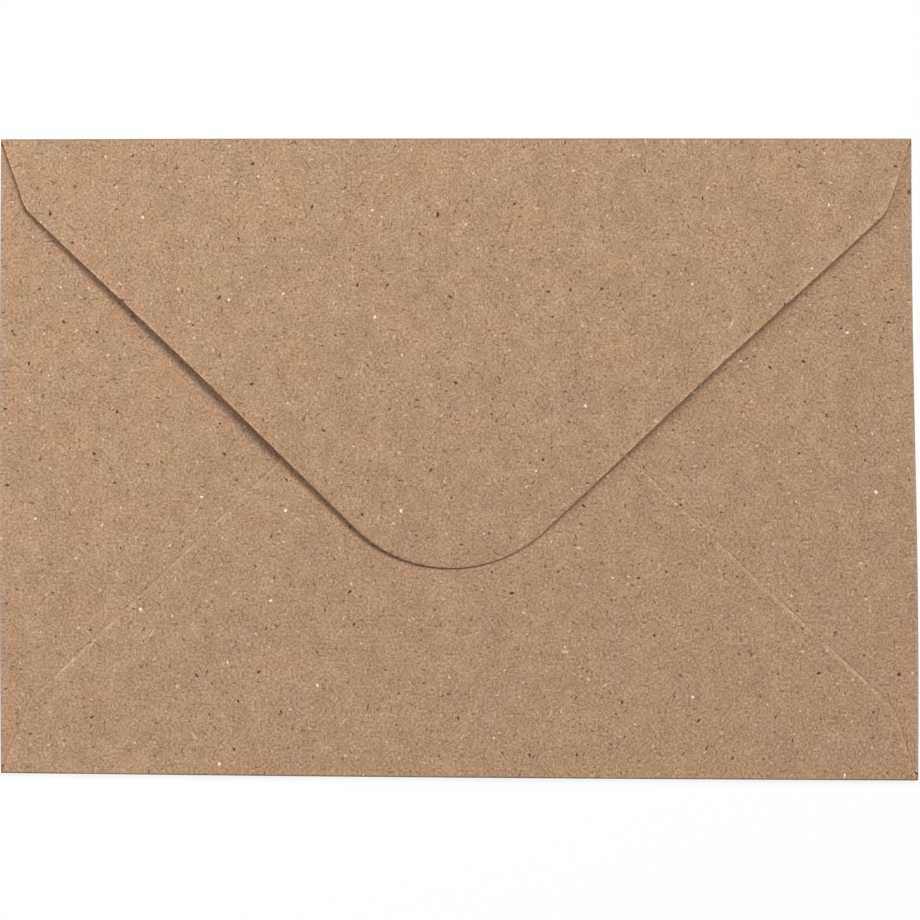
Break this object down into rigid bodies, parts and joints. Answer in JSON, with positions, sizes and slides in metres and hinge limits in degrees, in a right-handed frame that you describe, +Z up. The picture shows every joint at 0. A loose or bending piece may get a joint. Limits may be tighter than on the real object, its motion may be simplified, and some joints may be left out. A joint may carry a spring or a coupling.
{
  "type": "envelope",
  "caption": "Flat kraft paper envelope with a deep pointed seal flap hinged on its long top fold, a glued bottom flap and two side flaps round an open pocket.",
  "frame": {"origin": "on the surface that the envelope lies on, under the middle of its address face", "axes": "+X along the long top fold, to the right as the back is looked at; +Y across the envelope, from the bottom fold to the top fold; +Z up, out of the back that the seal flap closes"},
  "size_m": [0.162, 0.113, 0.002],
  "materials": {
    "kraft_paper": "matte",
    "seal_gum": "satin",
    "seam_glue": "satin"
  },
  "bodies": {
    "pocket": {"front_panel": "kraft_paper", "left_fold": "kraft_paper", "left_side_flap": "kraft_paper", "right_fold": "kraft_paper", "right_side_flap": "kraft_paper", "bottom_fold": "kraft_paper", "bottom_flap": "kraft_paper", "top_fold": "kraft_paper", "left_seam_glue": "seam_glue", "right_seam_glue": "seam_glue"},
    "flap": {"seal_flap_fold": "kraft_paper", "seal_flap": "kraft_paper", "seal_gum": "seal_gum"}
  },
  "joints": [
    {"name": "flap_crease", "type": "hinge", "parent": "pocket", "child": "flap", "pos_m": [0, 0.0565, 0.00101], "axis": [-1, 0, 0], "range_deg": [0, 180]}
  ]
}
